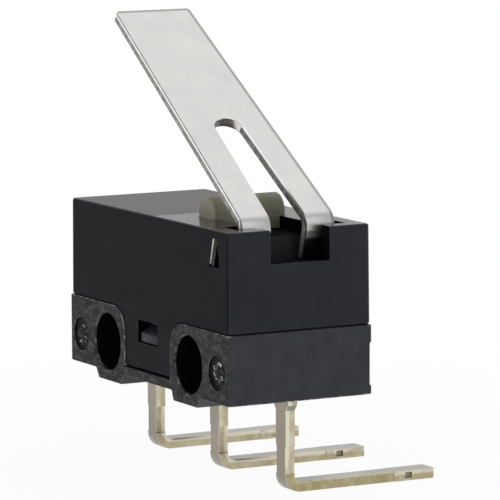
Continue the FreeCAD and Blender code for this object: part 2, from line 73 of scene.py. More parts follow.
# The mesh value that says how deep in its strip a point lies
THROUGH = "through_strip"
# How far the lever stands up at rest
LEVER_ANGLE_DEG = 32.8
# How far out the base's two round marks are
MARK_X = 5.45
LOG = logging.getLogger("micro_switch")
NODES: Mapping[str, bpy.types.Object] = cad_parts

Colour = tuple[float, float, float]
Fed = bpy.types.NodeSocket | float | Sequence[float]


class Body(Enum):
    """The rigid bodies that new pieces ride on."""

    HOUSING = "housing"
    LEVER = "hinge_lever"
    PLUNGER = "actuator"


class Slot(Enum):
    """The record's material slots; a new piece keeps one, which nothing here applies."""

    BASE = "base_moulding"
    COVER = "cover_moulding"
    PLUNGER = "plunger_moulding"
    LEVER = "lever_strip"
    TERMINAL = "tinned_terminal"


class Layers(Enum):
    """How many finer layers a noise pattern has, and how strong they are."""

    SOFT = (3.0, 0.5)
    FINE = (3.0, 0.6)
    TORN = (3.0, 0.7)
    CLOUDED = (4.0, 0.6)
    FLECKED = (4.0, 0.7)


class TreeBuilder:
    """A node tree that is built a node at a time."""

    def __init__(self, tree: bpy.types.NodeTree) -> None:
        """Start on a tree.

        Args:
            tree: The tree that gets the nodes.
        """
        self.tree = tree

    def node(self, kind: str, inputs: Mapping[str | int, Fed] | None = None,
             **settings: object) -> bpy.types.Node:
        """Add a node.

        Args:
            kind: The node's type name.
            inputs: What its inputs are fed with, by their names or places.
            settings: The node's own properties, which are set first.

        Returns:
            The new node.
        """
        made = self.tree.nodes.new(kind)
        for name, value in settings.items():
            setattr(made, name, value)
        for name, value in (inputs or {}).items():
            self.feed(made.inputs[name], value)
        return made

    def feed(self, socket: bpy.types.NodeSocket, value: Fed) -> None:
        """Link a socket to another, or set its plain value.

        Args:
            socket: The input that is fed.
            value: An output socket, a number, a vector or a colour.
        """
        if isinstance(value, bpy.types.NodeSocket):
            self.tree.links.new(value, socket)
        elif isinstance(value, (int, float)):
            socket.default_value = value
        else:
            parts = tuple(value)
            spare = len(socket.default_value) - len(parts)
            socket.default_value = parts + (1.0,) * spare

    def join(self, operation: str, first: Fed, second: Fed) -> bpy.types.NodeSocket:
        """Join two values by arithmetic.

        Args:
            operation: The arithmetic, such as MULTIPLY.
            first: The first value.
            second: The second value.

        Returns:
            The result.
        """
        return self.node("ShaderNodeMath", {0: first, 1: second}, operation=operation).outputs["Value"]


class ShaderTree(TreeBuilder):
    """One material's node tree, round a principled shader."""

    def __init__(self, name: str) -> None:
        """Start an empty material.

        Args:
            name: The material's name.
        """
        self.material = bpy.data.materials.new(name)
        self.material.use_nodes = True
        super().__init__(self.material.node_tree)
        self.tree.nodes.clear()
        self.shader = self.node("ShaderNodeBsdfPrincipled")
        self.output = self.node("ShaderNodeOutputMaterial", {"Surface": self.shader.outputs["BSDF"]})

    def shade(self, inputs: Mapping[str, Fed]) -> None:
        """Feed the shader.

        Args:
            inputs: What its inputs are fed with, by their names.
        """
        for name, value in inputs.items():
            self.feed(self.shader.inputs[name], value)

    def millimetres(self, stretch: Sequence[float] = (1, 1, 1),
                    turn_y: float = 0.0) -> bpy.types.NodeSocket:
        """Give the object's own coordinates in millimetres.

        Args:
            stretch: How much finer a pattern is along each axis.
            turn_y: Radians that the pattern is turned about Y first.

        Returns:
            The coordinates' socket.
        """
        place = self.node("ShaderNodeTexCoord").outputs["Object"]
        turn = self.node("ShaderNodeMapping", {"Vector": place, "Rotation": (0.0, turn_y, 0.0)})
        scale = self.node("ShaderNodeVectorMath",
                          {0: turn.outputs["Vector"], 1: [part / MM for part in stretch]},
                          operation="MULTIPLY")
        return scale.outputs["Vector"]

    def axis(self, letter: str, turn_y: float = 0.0) -> bpy.types.NodeSocket:
        """Give one of the object's own coordinates in millimetres.

        Args:
            letter: X, Y or Z.
            turn_y: Radians that the object is turned about Y first.

        Returns:
            The coordinate's socket.
        """
        parts = self.node("ShaderNodeSeparateXYZ", {0: self.millimetres(turn_y=turn_y)})
        return parts.outputs[letter]

    def noise(self, vector: bpy.types.NodeSocket, per_mm: float, layers: Layers
              ) -> bpy.types.NodeSocket:
        """Give a noise pattern.

        Args:
            vector: Coordinates in millimetres.
            per_mm: How many blotches there are to a millimetre.
            layers: The pattern's finer layers.

        Returns:
            The pattern's value.
        """
        detail, roughness = layers.value
        made = self.node("ShaderNodeTexNoise", {"Vector": vector, "Scale": per_mm,
                                                "Detail": detail, "Roughness": roughness})
        return made.outputs["Fac"]

    def spread(self, value: Fed, low: float, high: float, out_low: float = 0.0,
               out_high: float = 1.0) -> bpy.types.NodeSocket:
        """Map a range of values to another, held at its ends.

        Args:
            value: The value that is mapped.
            low: The value that becomes out_low.
            high: The value that becomes out_high.
            out_low: The result at low.
            out_high: The result at high.

        Returns:
            The mapped value.
        """
        made = self.node("ShaderNodeMapRange", {"Value": value, "From Min": low, "From Max": high,
                                                "To Min": out_low, "To Max": out_high})
        return made.outputs["Result"]

    def blend(self, share: Fed, first: Fed, second: Fed) -> bpy.types.NodeSocket:
        """Mix two colours.

        Args:
            share: How much of the second colour there is.
            first: The first colour.
            second: The second colour.

        Returns:
            The mixed colour.
        """
        made = self.node("ShaderNodeMix", {"Factor": share, 6: first, 7: second}, data_type="RGBA")
        return made.outputs[2]

    def relief(self, height: Fed, depth_mm: float) -> None:
        """Roughen the surface with a height pattern.

        Args:
            height: The pattern, from 0 to 1.
            depth_mm: How deep the pattern is.
        """
        bump = self.node("ShaderNodeBump", {"Height": height, "Distance": depth_mm * MM,
                                            "Strength": 1.0})
        self.shade({"Normal": bump.outputs["Normal"]})

    def depth(self) -> bpy.types.NodeSocket:
        """Give how deep in its strip a point lies, which is stored on the mesh."""
        return self.node("ShaderNodeAttribute", attribute_name=THROUGH).outputs["Fac"]


@dataclass(frozen=True)
class MouldedPlastic:
    """A black or coloured moulding with fine grain, faint clouding and pale specks."""

    name: str
    colour: Colour
    cloud_colour: Colour
    roughness: float
    gloss: float
    swing: float = 0.06
    grain_per_mm: float = 22.0
    grain_depth_mm: float = 0.003
    cloud_per_mm: float = 0.9
    speck_per_mm: float = 7.0
    speck_range: tuple[float, float] = (0.6, 0.75)
    speck_share: float = 0.0
    speck_colour: Colour = (0.1, 0.1, 0.1)
    stretch: tuple[float, float, float] = (1.0, 1.0, 1.0)
    smooth_from: float | None = None
    smooth_roughness: float = 0.1
    border: float = 0.02

    def material(self) -> bpy.types.Material:
        """Build the material.

        Returns:
            The material.
        """
        tree = ShaderTree(self.name)
        place = tree.millimetres(self.stretch)
        cloud = tree.spread(tree.noise(place, self.cloud_per_mm, Layers.SOFT), *NOISE_CORE)
        grain = tree.noise(place, self.grain_per_mm, Layers.FINE)
        colour = tree.blend(cloud, self.colour, self.cloud_colour)
        if self.speck_share:
            specks = tree.noise(place, self.speck_per_mm, Layers.FLECKED)
            shown = tree.spread(specks, *self.speck_range, 0.0, self.speck_share)
            colour = tree.blend(shown, colour, self.speck_colour)
        rough = tree.spread(grain, *NOISE_CORE, self.roughness - self.swing,
                            self.roughness + self.swing)
        if self.smooth_from is not None:
            change = tree.spread(tree.axis("X"), self.smooth_from - self.border,
                                 self.smooth_from + self.border,
                                 0.0, self.smooth_roughness - self.roughness)
            rough = tree.join("ADD", rough, change)
        tree.shade({"Base Color": colour, "Roughness": rough, "Specular IOR Level": self.gloss})
        tree.relief(grain, self.grain_depth_mm)
        return tree.material


@dataclass(frozen=True)
class RimReflection:
    """A painted dark reflection along a tapered strip's far side and its tip, where its sheared edges
    roll over.
    """

    half_width: float
    widening: float
    tip: float
    colour: Colour
    dark_to: float = 0.09
    clear_at: float = 0.15

    def over(self, tree: ShaderTree, turn_y: float, colour: bpy.types.NodeSocket
             ) -> bpy.types.NodeSocket:
        """Paint a dark reflection over a colour along the strip's far side and its tip.

        Args:
            tree: The tree that the colour is in.
            turn_y: Radians about Y that lay the strip along X.
            colour: The strip's own colour.

        Returns:
            The colour with its painted dark reflection.
        """
        along = tree.axis("X", turn_y)
        half = tree.join("ADD", tree.join("MULTIPLY", along, self.widening), self.half_width)
        inside = tree.join("MINIMUM", tree.join("SUBTRACT", half, tree.axis("Y", turn_y)),
                           tree.join("SUBTRACT", along, self.tip))
        return tree.blend(tree.spread(inside, self.dark_to, self.clear_at, 1.0, 0.0),
                          colour, self.colour)


@dataclass(frozen=True)
class RolledStrip:
    """A rolled metal strip's face, with fine lines along the rolling direction."""

    name: str
    colour: Colour
    cloud_colour: Colour
    roughness: float
    swing: float = 0.05
    turn_y: float = 0.0
    stretch: tuple[float, float, float] = (0.06, 1.0, 1.0)
    line_per_mm: float = 14.0
    line_depth_mm: float = 0.0012
    cloud_per_mm: float = 0.7
    cloud_range: tuple[float, float] = (0.35, 0.7)
    grazing: float = 1.0
    # Where given: a painted dark reflection on the rim, and painted light above lit_from
    rim: RimReflection | None = None
    lit_from: float | None = None
    lit_border: float = 0.04
    lit_colour: Colour = (0.6, 0.6, 0.585)

    def material(self) -> bpy.types.Material:
        """Build the material.

        Returns:
            The material.
        """
        tree = ShaderTree(self.name)
        lines = tree.noise(tree.millimetres(self.stretch, self.turn_y), self.line_per_mm, Layers.FINE)
        clouds = tree.noise(tree.millimetres(), self.cloud_per_mm, Layers.CLOUDED)
        cloud = tree.spread(clouds, *self.cloud_range)
        colour = tree.blend(cloud, self.colour, self.cloud_colour)
        if self.rim:
            colour = self.rim.over(tree, self.turn_y, colour)
        if self.lit_from is not None:
            lit = tree.spread(tree.axis("Z"), self.lit_from - self.lit_border,
                              self.lit_from + self.lit_border)
            colour = tree.blend(lit, colour, self.lit_colour)
        rough = tree.spread(lines, *NOISE_CORE, self.roughness - self.swing,
                            self.roughness + self.swing)
        tree.shade({"Base Color": colour, "Roughness": rough, "Metallic": 1.0,
                    "Specular Tint": (self.grazing,) * 3})
        tree.relief(lines, self.line_depth_mm)
        return tree.material


@dataclass(frozen=True)
class ShearedEdge:
    """A stamped strip's cut edge: a bright burnished band with a dull one on each side."""

    name: str
    bright: Colour
    dull: Colour
    fleck: Colour
    band: tuple[float, float] = (0.2, 0.55)
    ragged: float = 0.06
    ragged_per_mm: float = 6.0
    soft: float = 0.08
    bright_roughness: float = 0.24
    dull_roughness: float = 0.5
    fleck_per_mm: float = 5.0
    fleck_range: tuple[float, float] = (0.42, 0.62)
    tear_per_mm: float = 22.0
    tear_depth_mm: float = 0.006
    # Painted light: where given, the dull band turns lighter below this height
    lit_below: float | None = None
    lit_below_soft: float = 0.3
    lit_below_colour: Colour = (0.85, 0.85, 0.83)
    # Painted dark reflection of the housing on the run's inner edge, where set
    reflects_housing: bool = False
    reflection_from: tuple[float, float] = (0.42, 0.6)
    reflection_to: tuple[float, float] = (1.0, 2.3)
    reflection_depth: tuple[float, float] = (0.74, 0.84)
    reflection_colour: Colour = (0.24, 0.23, 0.19)

    def material(self) -> bpy.types.Material:
        """Build the material.

        Returns:
            The material.
        """
        tree = ShaderTree(self.name)
        place = tree.millimetres()
        uneven = tree.noise(place, self.ragged_per_mm, Layers.SOFT)
        ragged = tree.spread(uneven, *NOISE_CORE, -self.ragged, self.ragged)
        through = tree.join("ADD", tree.depth(), ragged)
        start, end = self.band
        middle, half = (start + end) / 2, (end - start) / 2
        away = tree.join("ABSOLUTE", tree.join("SUBTRACT", through, middle), 0.0)
        torn = tree.spread(away, half - self.soft, half + self.soft)
        flecks = tree.noise(place, self.fleck_per_mm, Layers.FLECKED)
        dull = tree.blend(tree.spread(flecks, *self.fleck_range), self.dull, self.fleck)
        # Painted light on the dull band below a height
        if self.lit_below is not None:
            lit_low = tree.spread(tree.axis("Z"), self.lit_below - self.lit_below_soft,
                                 self.lit_below, 1.0, 0.0)
            dull = tree.blend(lit_low, dull, self.lit_below_colour)
        colour = tree.blend(torn, self.bright, dull)
        if self.reflects_housing:
            colour = self.housing_reflection(tree, colour)
        rough = tree.spread(torn, 0.0, 1.0, self.bright_roughness, self.dull_roughness)
        tree.shade({"Base Color": colour, "Roughness": rough, "Metallic": 1.0})
        tears = tree.join("MULTIPLY", tree.noise(place, self.tear_per_mm, Layers.TORN), torn)
        tree.relief(tears, self.tear_depth_mm)
        return tree.material

    def housing_reflection(self, tree: ShaderTree, colour: bpy.types.NodeSocket) -> bpy.types.NodeSocket:
        """Paint a dark reflection of the housing on the strip's inner edge on the run, next to the bend.

        Args:
            tree: The tree that the colour is in.
            colour: The edge's own colour.

        Returns:
            The colour with its painted reflection.
        """
        along = tree.axis("Y")
        length = tree.join("MINIMUM", tree.spread(along, *self.reflection_from),
                           tree.spread(along, *self.reflection_to, 1.0, 0.0))
        inner = tree.spread(tree.depth(), *self.reflection_depth)
        return tree.blend(tree.join("MULTIPLY", length, inner), colour, self.reflection_colour)


Finish = MouldedPlastic | RolledStrip | ShearedEdge

COVER_SIDE = MouldedPlastic("cover_side", (0.0155, 0.0165, 0.021), (0.0205, 0.0215, 0.0275), 0.52, 0.2)
# Painted shade: a darker, less glossy copy of COVER_SIDE for the long sides
COVER_LONG_SIDE = MouldedPlastic("cover_long_side", (0.006, 0.006, 0.0085), (0.0092, 0.0088, 0.0125),
                                 0.52, 0.053)
COVER_SKIRT = MouldedPlastic("cover_skirt", (0.0068, 0.0067, 0.0092), (0.0105, 0.01, 0.0138), 0.52, 0.055,
                             speck_per_mm=5.0, speck_range=(0.62, 0.72), speck_share=0.3)
# Painted highlight: a lighter line on the clip window's outer edges
COVER_WINDOW_HIGHLIGHT = MouldedPlastic("cover_window_highlight", (0.04, 0.038, 0.05), (0.09, 0.086, 0.11), 0.45, 0.3)
# Painted shade: near-black on the cover's inner faces, the notch's and pocket's walls and the window's
# inner walls
COVER_SHADE = MouldedPlastic("cover_painted_shade", (0.002, 0.002, 0.003), (0.003, 0.003, 0.004), 0.7, 0.03)
COVER_TOP = MouldedPlastic("cover_top", (0.018, 0.018, 0.021), (0.025, 0.025, 0.029), 0.31, 0.52,
                           grain_depth_mm=0.0015, smooth_from=0.4)
COVER_EDGE = MouldedPlastic("cover_edge", (0.02, 0.02, 0.025), (0.035, 0.035, 0.04), 0.45, 0.3)
BASE_SIDE = MouldedPlastic("base_side", (0.009, 0.009, 0.01), (0.022, 0.022, 0.022), 0.6, 0.2,
                           grain_per_mm=9.0, grain_depth_mm=0.03, cloud_per_mm=1.8,
                           speck_per_mm=5.0, speck_range=(0.48, 0.64), speck_share=0.75,
                           speck_colour=(0.085, 0.085, 0.082), stretch=(0.55, 1.0, 1.0))
BASE_FACE = MouldedPlastic("base_face", (0.031, 0.032, 0.04), (0.042, 0.043, 0.05), 0.55, 0.25,
                           grain_depth_mm=0.006, cloud_per_mm=1.6)
# Painted highlight: the base's rounded edges lighter, with bright specks
BASE_EDGE = MouldedPlastic("base_edge", (0.035, 0.035, 0.036), (0.1, 0.1, 0.098), 0.5, 0.3,
                           cloud_per_mm=2.0, speck_per_mm=4.0, speck_range=(0.48, 0.6),
                           speck_share=0.9, speck_colour=(0.42, 0.42, 0.4))
# Painted highlight, dimmer: the bores' chamfers lighter, with pale flecks
BORE_RIM = MouldedPlastic("bore_rim", (0.016, 0.016, 0.016), (0.04, 0.04, 0.039), 0.5, 0.25,
                          cloud_per_mm=2.0, speck_per_mm=3.0, speck_range=(0.5, 0.64),
                          speck_share=0.8, speck_colour=(0.2, 0.2, 0.19))
# Painted shade: the round marks' recesses, near-black
BASE_RECESS_SHADE = MouldedPlastic("base_recess_shade", (0.004, 0.004, 0.005), (0.012, 0.012, 0.012), 0.6, 0.15,
                             cloud_per_mm=3.0)
# Painted light: the feet's slopes lighter, standing for light from the floor below
BASE_FOOT_LIT = MouldedPlastic("base_foot_lit", (0.08, 0.08, 0.078), (0.1, 0.1, 0.098), 0.5, 0.4)
CLIP_HOOK = MouldedPlastic("clip_hook", (0.012, 0.011, 0.017), (0.025, 0.023, 0.033), 0.45, 0.25,
                           grain_per_mm=9.0, grain_depth_mm=0.02, cloud_per_mm=3.0)
# Painted shade: near-black inside the bores and, as a shadow gap, on the rail's top under the skirt
BASE_SHADE = MouldedPlastic("base_painted_shade", (0.002, 0.002, 0.003), (0.003, 0.003, 0.004), 0.7, 0.04)
TORN_GATE = MouldedPlastic("torn_gate", (0.03, 0.03, 0.03), (0.09, 0.088, 0.085), 0.35, 0.5,
                           speck_per_mm=4.0, speck_range=(0.5, 0.6), speck_share=0.9,
                           speck_colour=(0.8, 0.79, 0.75))
PLUNGER_FACE = MouldedPlastic("plunger_face", (0.26, 0.247, 0.175), (0.3, 0.283, 0.205), 0.4, 0.5,
                              grain_depth_mm=0.002)
# Painted highlight: the plunger's rounded edges much lighter than its faces
PLUNGER_EDGE_HIGHLIGHT = MouldedPlastic("plunger_edge_highlight", (0.42, 0.4, 0.32), (0.46, 0.44, 0.36), 0.35, 0.5,
                              grain_depth_mm=0.002)
# The lever's face carries a painted dark reflection along its far side and tip
LEVER_FACE = RolledStrip("lever_face", (0.635, 0.635, 0.615), (0.58, 0.58, 0.57), 0.36,
                         turn_y=math.radians(-LEVER_ANGLE_DEG),
                         rim=RimReflection(1.834, 0.027, -10.855, (0.34, 0.34, 0.335)))
# The lever's broad faces low in the pocket: painted shade, turning to painted light above 4.6 mm
LEVER_SHADE = RolledStrip("lever_painted_shade", (0.07, 0.07, 0.07), (0.05, 0.05, 0.05), 0.4, lit_from=4.6)
# Painted highlight: lighter than the lever's face, on its rounded edges and on a patch at the slot's end
LEVER_ROUND = RolledStrip("lever_round", (0.8, 0.8, 0.78), (0.66, 0.66, 0.64), 0.3, grazing=0.35)
LEVER_CUT = ShearedEdge("lever_cut", (0.97, 0.97, 0.95), (0.27, 0.27, 0.26), (0.48, 0.47, 0.445),
                        band=(0.2, 0.44), ragged=0.04, soft=0.04)
# The slot's cut edges are painted lighter below 5.3 mm: painted light
SLOT_CUT = ShearedEdge("slot_cut", (0.8, 0.8, 0.77), (0.2, 0.198, 0.19), (0.34, 0.335, 0.32),
                       band=(-0.3, 0.1), ragged=0.08, fleck_per_mm=3.0, lit_below=5.3)
SLOT_SIDE = ShearedEdge("slot_side", (0.95, 0.95, 0.93), (0.17, 0.168, 0.16), (0.36, 0.355, 0.34),
                        band=(-0.3, 0.26), ragged=0.03, soft=0.05, fleck_per_mm=3.0,
                        lit_below=5.3)
# Painted shade: a darker copy of the cut edge for the ears, which sit in the cover's windows
EAR_CUT = ShearedEdge("ear_cut", (0.5, 0.5, 0.49), (0.02, 0.02, 0.019), (0.05, 0.048, 0.045),
                      band=(0.7, 1.2), ragged=0.02, soft=0.05)
# One tin in two tones: the broad faces darker as painted shade, the top faces lighter as painted light
TIN_FACE = RolledStrip("tin_face", (0.335, 0.3, 0.245), (0.27, 0.24, 0.195), 0.3,
                       stretch=(1.0, 1.0, 0.3), line_depth_mm=0.0008)
TIN_TOP = RolledStrip("tin_top", (0.74, 0.72, 0.67), (0.64, 0.62, 0.56), 0.32,
                      stretch=(1.0, 0.2, 1.0), line_depth_mm=0.0004)
TIN_PIT = RolledStrip("tin_pit", (0.26, 0.235, 0.165), (0.33, 0.3, 0.22), 0.5)
TIN_ROUND = RolledStrip("tin_round", (0.7, 0.66, 0.54), (0.55, 0.5, 0.38), 0.26)
TIN_CUT = ShearedEdge("tin_cut", (0.73, 0.69, 0.53), (0.55, 0.49, 0.32), (0.68, 0.64, 0.5),
                      band=(-0.2, 0.4), fleck_per_mm=1.6)
# The turned edge carries the painted dark reflection next to the bend
TIN_TURNED = ShearedEdge("tin_turned", (0.68, 0.63, 0.5), (0.48, 0.42, 0.26), (0.6, 0.55, 0.4),
                         band=(0.6, 1.3), fleck_per_mm=1.6, reflects_housing=True)
TIN_DULL = ShearedEdge("tin_dull", (0.55, 0.5, 0.36), (0.41, 0.35, 0.19), (0.52, 0.46, 0.3),
                       band=(0.85, 1.3), fleck_per_mm=2.2)
SPRING_FACE = RolledStrip("spring_face", (0.68, 0.42, 0.24), (0.6, 0.36, 0.2), 0.3)
CONTACT_FACE = RolledStrip("contact_face", (0.85, 0.84, 0.81), (0.78, 0.77, 0.74), 0.25)


@dataclass(frozen=True)
class EdgeBreak:
    """How a piece's sharp edges are rounded."""

    width_mm: float
    segments: int = 3
    sharp_deg: float = 28.0
    clamp: bool = True


@dataclass
class DressedNode:
    """A piece with broken edges that stands for one node of the construction."""

    node: str
    body: Body
    slot: Slot
    edge: EdgeBreak
    materials: Mapping[Finish, bpy.types.Material]
    paint: Callable[[Vector, Vector], Finish | None] | None = None
    depth: Callable[[Vector], float] | None = None

    def rounded(self) -> bpy.types.Object:
        """Copy the node's form, merge its loose triangles and round its edges.

        Returns:
            The new piece, with its rounded edges in the second material.
        """
        mesh = NODES[self.node].data.copy()
        mesh.name = self.node + "_mesh"
        mesh.materials.clear()
        for material in self.materials.values():
            mesh.materials.append(material)
        merge_triangles(mesh)
        rough = put(self.node + "_rough", mesh)
        bevel = rough.modifiers.new("edges", "BEVEL")
        bevel.limit_method = "ANGLE"
        bevel.angle_limit = math.radians(self.edge.sharp_deg)
        bevel.width = self.edge.width_mm * MM
        bevel.segments = self.edge.segments
        bevel.material = ROUNDED
        bevel.use_clamp_overlap = self.edge.clamp
        bevel.miter_outer = "MITER_ARC"
        rough.modifiers.new("flat_faces", "WEIGHTED_NORMAL").keep_sharp = True
        piece = bake(rough, self.node + "_dressed")
        if not self.edge.clamp:
            keep_inside(piece.data, NODES[self.node])
        return piece

    def repaint(self, mesh: bpy.types.Mesh) -> None:
        """Give each face the finish that the piece's paint picks for it.

        Args:
            mesh: The mesh, whose faces keep their finish where the paint gives None.
        """
        places = {finish: place for place, finish in enumerate(self.materials)}
        for face in mesh.polygons:
            picked = self.paint(face.center, face.normal)
            if picked is not None:
                face.material_index = places[picked]

    def build(self) -> None:
        """Build and dress the piece, and let it stand for its node."""
        piece = self.rounded()
        if self.paint:
            self.repaint(piece.data)
        if self.depth:
            layer = piece.data.attributes.new(THROUGH, "FLOAT", "POINT")
            layer.data.foreach_set("value", [self.depth(vertex.co) for vertex in piece.data.vertices])
        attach(piece, self.body.value)
        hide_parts(self.node)
        LOG.info("%s: %d faces", piece.name, len(piece.data.polygons))


def materials_of(*finishes: Finish) -> dict[Finish, bpy.types.Material]:
    """Build the materials of a piece.

    Args:
        finishes: The piece's finishes: its main one, the one for rounded edges, and any others.

    Returns:
        The material of each finish, in the same order.
    """
    return {finish: finish.material() for finish in finishes}


def put(name: str, data: bpy.types.ID) -> bpy.types.Object:
    """Put a new object in the scene.

    Args:
        name: The object's name.
        data: Its mesh, lamp or camera.

    Returns:
        The new object, at the origin.
    """
    made = bpy.data.objects.new(name, data)
    bpy.context.scene.collection.objects.link(made)
    return made


def merge_triangles(mesh: bpy.types.Mesh) -> None:
    """Merge a mesh's doubled points and its level triangles.

    Args:
        mesh: The mesh that is changed.
    """
    loose = bmesh.new()
    loose.from_mesh(mesh)
    bmesh.ops.remove_doubles(loose, verts=loose.verts, dist=DOUBLED)
    bmesh.ops.dissolve_limit(loose, angle_limit=math.radians(LEVEL_DEG), verts=loose.verts,
                             edges=loose.edges)
    for face in loose.faces:
        face.smooth = True
        face.material_index = 0
    loose.to_mesh(mesh)
    loose.free()


def keep_inside(mesh: bpy.types.Mesh, node: bpy.types.Object) -> None:
    """Hold a mesh inside the box of the node that it stands for.

    Args:
        mesh: The mesh, whose outermost points are drawn in.
        node: The node of the construction.
    """
    sides = [(min(side), max(side)) for side in zip(*node.bound_box)]
    for vertex in mesh.vertices:
        held = Vector([min(max(at, low), high) for at, (low, high) in zip(vertex.co, sides)])
        if (held - vertex.co).length > LEAST_MOVE:
            vertex.co = held


def bake(source: bpy.types.Object, name: str) -> bpy.types.Object:
    """Turn an object with modifiers into a plain mesh.

    Args:
        source: The object, which is removed.
        name: The new piece's name.

    Returns:
        The plain piece, at the origin.
    """
    graph = bpy.context.evaluated_depsgraph_get()
    mesh = bpy.data.meshes.new_from_object(source.evaluated_get(graph),
                                           preserve_all_data_layers=True, depsgraph=graph)
    old = source.data
    bpy.data.objects.remove(source)
    bpy.data.meshes.remove(old)
    return put(name, mesh)


@dataclass
class Studio:
    """The plain floor, the soft light and the camera."""

    target_mm: tuple[float, float, float] = (0.173, 1.296, 3.547)
    distance_mm: float = 152.68
    azimuth_deg: float = 61.567
    elevation_deg: float = 7.452
    roll_deg: float = -0.281
    focal_px: float = 4122.5
    frame_px: float = 500.0
    sensor_mm: float = 36.0
    clip_m: tuple[float, float] = (0.01, 10.0)
    floor_drop_mm: float = 0.02
    floor_radius_mm: float = 900.0
    floor_colour: Colour = (0.9, 0.9, 0.9)
    floor_roughness: float = 0.8
    near_white: float = 0.95
    white_from_mm: float = 12.0
    white_at_mm: float = 34.0
    sky_strength: float = 0.6

    def camera(self) -> None:
        """Place the camera as the photograph's was."""
        azimuth, elevation = math.radians(self.azimuth_deg), math.radians(self.elevation_deg)
        back = Vector((math.sin(azimuth) * math.cos(elevation),
                       -math.cos(azimuth) * math.cos(elevation), math.sin(elevation)))
        data = bpy.data.cameras.new("photo_camera")
        data.sensor_width = self.sensor_mm
        data.lens = self.focal_px / self.frame_px * data.sensor_width
        data.clip_start, data.clip_end = self.clip_m
        camera = put("photo_camera", data)
        right = Vector((0, 0, 1)).cross(back).normalized()
        level = Matrix((right, back.cross(right), back)).transposed()
        roll = Matrix.Rotation(math.radians(self.roll_deg), 3, "Z")
        camera.matrix_world = (level @ roll).to_4x4()
        camera.location = (Vector(self.target_mm) + back * self.distance_mm) * MM
        bpy.context.scene.camera = camera

    def world(self) -> None:
        """Light the object evenly from all round."""
        world = bpy.data.worlds.new("studio")
        world.use_nodes = True
        sky = TreeBuilder(world.node_tree)
        sky.tree.nodes.clear()
        light = sky.node("ShaderNodeBackground", {"Color": (1.0, 1.0, 1.0),
                                                  "Strength": self.sky_strength})
        sky.node("ShaderNodeOutputWorld", {"Surface": light.outputs["Background"]})
        bpy.context.scene.world = world

    def lamp(self, name: str, place_mm: Sequence[float], size_mm: float, power: float) -> None:
        """Hang one soft square lamp that faces the object.

        Args:
            name: The lamp's name.
            place_mm: Where it hangs.
            size_mm: Its side.
            power: Its power in watts.
        """
        data = bpy.data.lights.new(name, "AREA")
        data.size = size_mm * MM
        data.energy = power
        lamp = put(name, data)
        lamp.location = Vector(place_mm) * MM
        lamp.rotation_mode = "QUATERNION"
        lamp.rotation_quaternion = (-lamp.location).to_track_quat("-Z", "Y")

    def lamps(self) -> None:
        """Hang the studio's soft lamps."""
        self.lamp("top_lamp", (-30, 60, 160), 160, 0.05)
        self.lamp("key_lamp", (150, 40, 90), 110, 0.022)
        self.lamp("front_lamp", (40, -170, 60), 120, 0.03)

    def floor_material(self) -> bpy.types.Material:
        """Make the floor's white, which keeps a faint shadow near the object.

        Returns:
            The material, plain for diffuse light and white to what looks at it.
        """
        tree = ShaderTree("floor")
        tree.shade({"Base Color": self.floor_colour, "Roughness": self.floor_roughness,
                    "Specular IOR Level": 0.0})
        away = tree.node("ShaderNodeVectorMath", {0: tree.millimetres((1, 1, 0))}, operation="LENGTH")
        white = tree.spread(away.outputs["Value"], self.white_from_mm, self.white_at_mm,
                            self.near_white, 1.0)
        path = tree.node("ShaderNodeLightPath")
        bounced = tree.join("MAXIMUM", path.outputs["Is Glossy Ray"],
                            path.outputs["Is Transmission Ray"])
        seen = tree.join("MAXIMUM", path.outputs["Is Camera Ray"], bounced)
        glow = tree.node("ShaderNodeEmission")
        mix = tree.node("ShaderNodeMixShader", {0: tree.join("MULTIPLY", seen, white),
                                                1: tree.shader.outputs["BSDF"],
                                                2: glow.outputs["Emission"]})
        tree.feed(tree.output.inputs["Surface"], mix.outputs["Shader"])
        return tree.material

    def floor(self, height: float) -> None:
        """Lay the plain pale floor.

        Args:
            height: The floor's height in metres.
        """
        radius = self.floor_radius_mm * MM
        corners = [(-radius, -radius, height), (radius, -radius, height),
                   (radius, radius, height), (-radius, radius, height)]
        mesh = bpy.data.meshes.new("floor_mesh")
        mesh.from_pydata(corners, [], [(0, 1, 2, 3)])
        mesh.materials.append(self.floor_material())
        put("floor", mesh)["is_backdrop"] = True

    def build(self) -> None:
        """Set up the whole studio under the object."""
        low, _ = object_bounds()
        self.floor(low.z - self.floor_drop_mm * MM)
        self.world()
        self.lamps()
        self.camera()


